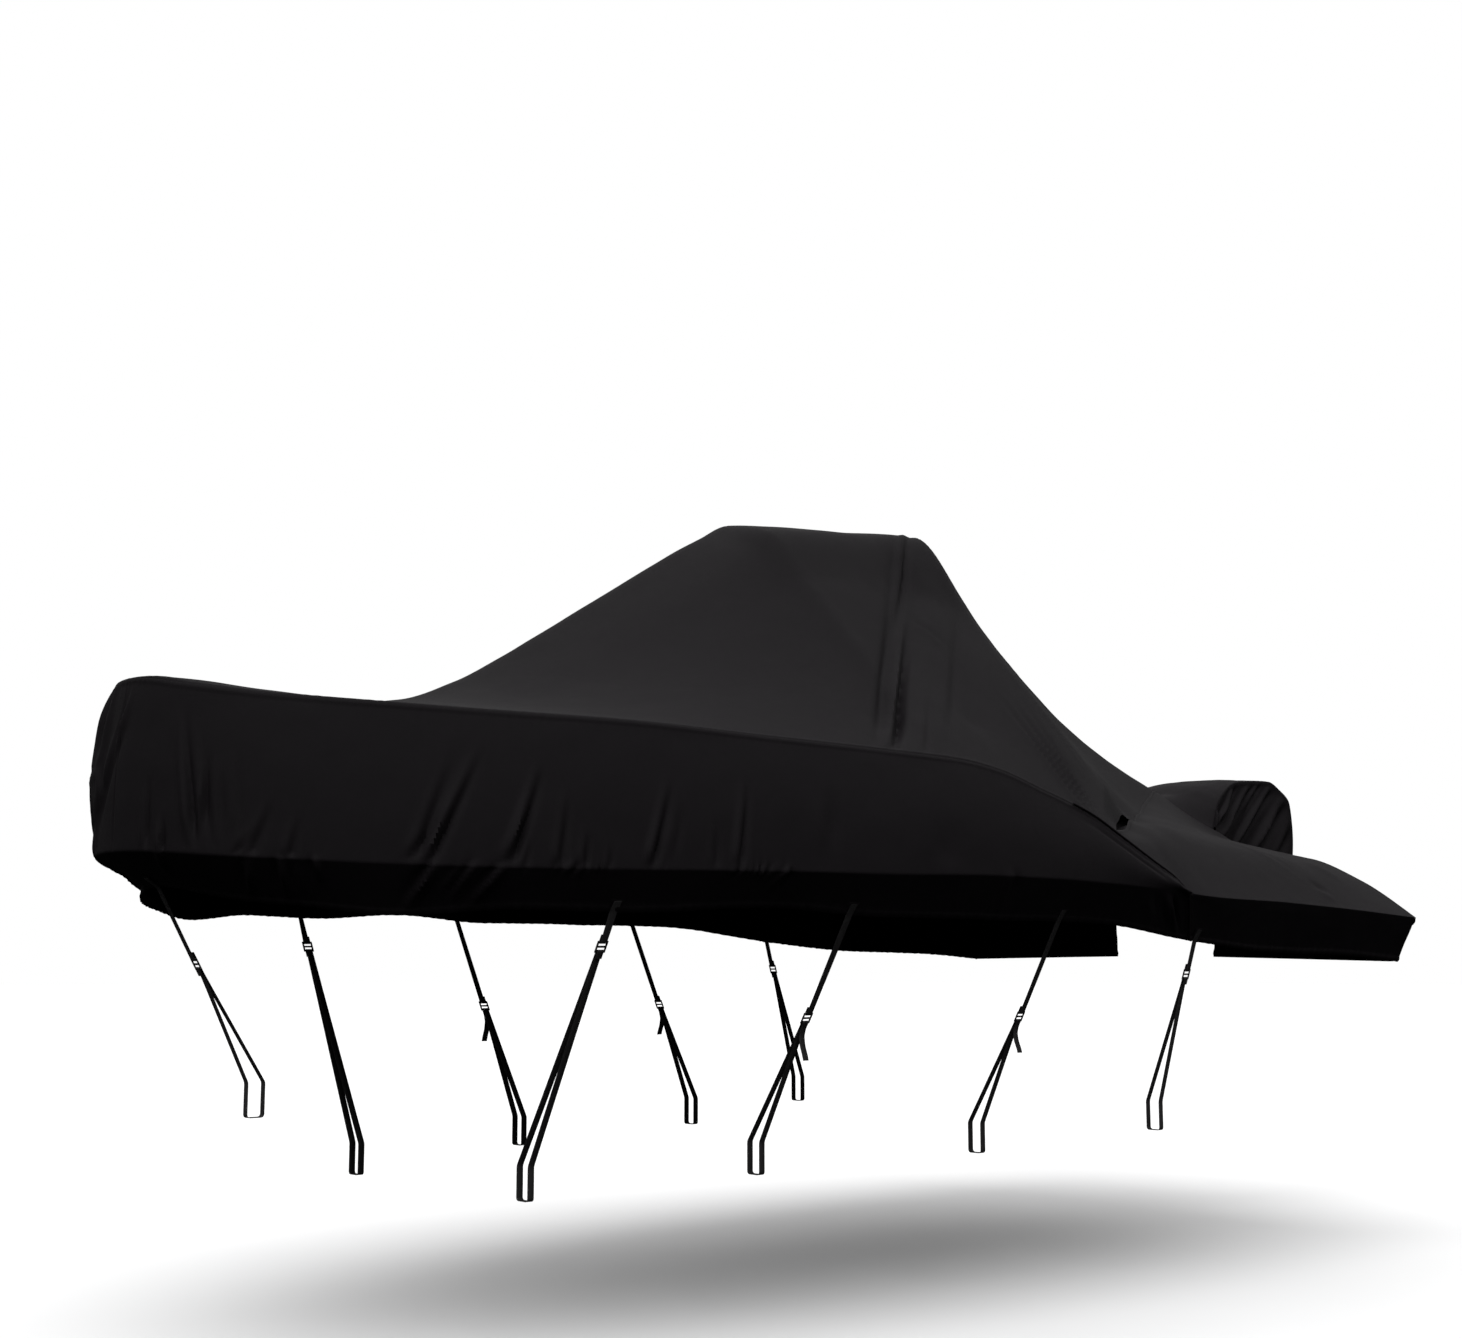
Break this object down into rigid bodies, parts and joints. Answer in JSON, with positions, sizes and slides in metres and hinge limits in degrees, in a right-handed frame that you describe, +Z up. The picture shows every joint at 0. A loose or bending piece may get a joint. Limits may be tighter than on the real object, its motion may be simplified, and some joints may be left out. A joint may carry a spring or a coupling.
{
  "type": "boat cover",
  "caption": "Fitted boat cover: a cloth tent over a centre console, side panels with a fold and short skirt, an aft deck with a gathered motor hood, and tie-down straps.",
  "frame": {"origin": "underside of the cloth over the console, where the cover is held up", "axes": "+X aft along the cover, +Y to starboard, +Z up"},
  "size_m": [5.8836, 2.5674, 2.4494],
  "materials": {
    "polyester_cloth": "matt coated weave",
    "webbing": "woven ribbed",
    "plastic": "moulded"
  },
  "bodies": {
    "root": {"tent_panel": "polyester_cloth", "side_panel_port": "polyester_cloth", "side_panel_starboard": "polyester_cloth", "aft_panel_port": "polyester_cloth", "aft_panel_starboard": "polyester_cloth", "hood_cap": "polyester_cloth", "hood_side_port": "polyester_cloth", "hood_side_starboard": "polyester_cloth", "seam_welt_port": "polyester_cloth", "seam_welt_starboard": "polyester_cloth", "strap_bow_patch": "polyester_cloth", "strap_bow_hanger": "webbing", "strap_bow_loop": "webbing", "strap_bow_buckle": "plastic", "strap_port_1_patch": "polyester_cloth", "strap_port_1_hanger": "webbing", "strap_port_1_loop": "webbing", "strap_port_1_buckle": "plastic", "strap_port_2_patch": "polyester_cloth", "strap_port_2_hanger": "webbing", "strap_port_2_loop": "webbing", "strap_port_2_buckle": "plastic", "strap_port_3_patch": "polyester_cloth", "strap_port_3_hanger": "webbing", "strap_port_3_loop": "webbing", "strap_port_3_buckle": "plastic", "strap_port_4_patch": "polyester_cloth", "strap_port_4_hanger": "webbing", "strap_port_4_loop": "webbing", "strap_port_4_buckle": "plastic", "strap_starboard_1_patch": "polyester_cloth", "strap_starboard_1_hanger": "webbing", "strap_starboard_1_loop": "webbing", "strap_starboard_1_buckle": "plastic", "strap_starboard_2_patch": "polyester_cloth", "strap_starboard_2_hanger": "webbing", "strap_starboard_2_loop": "webbing", "strap_starboard_2_buckle": "plastic", "strap_starboard_3_patch": "polyester_cloth", "strap_starboard_3_hanger": "webbing", "strap_starboard_3_loop": "webbing", "strap_starboard_3_buckle": "plastic", "strap_starboard_4_patch": "polyester_cloth", "strap_starboard_4_hanger": "webbing", "strap_starboard_4_loop": "webbing", "strap_starboard_4_buckle": "plastic"}
  },
  "joints": []
}
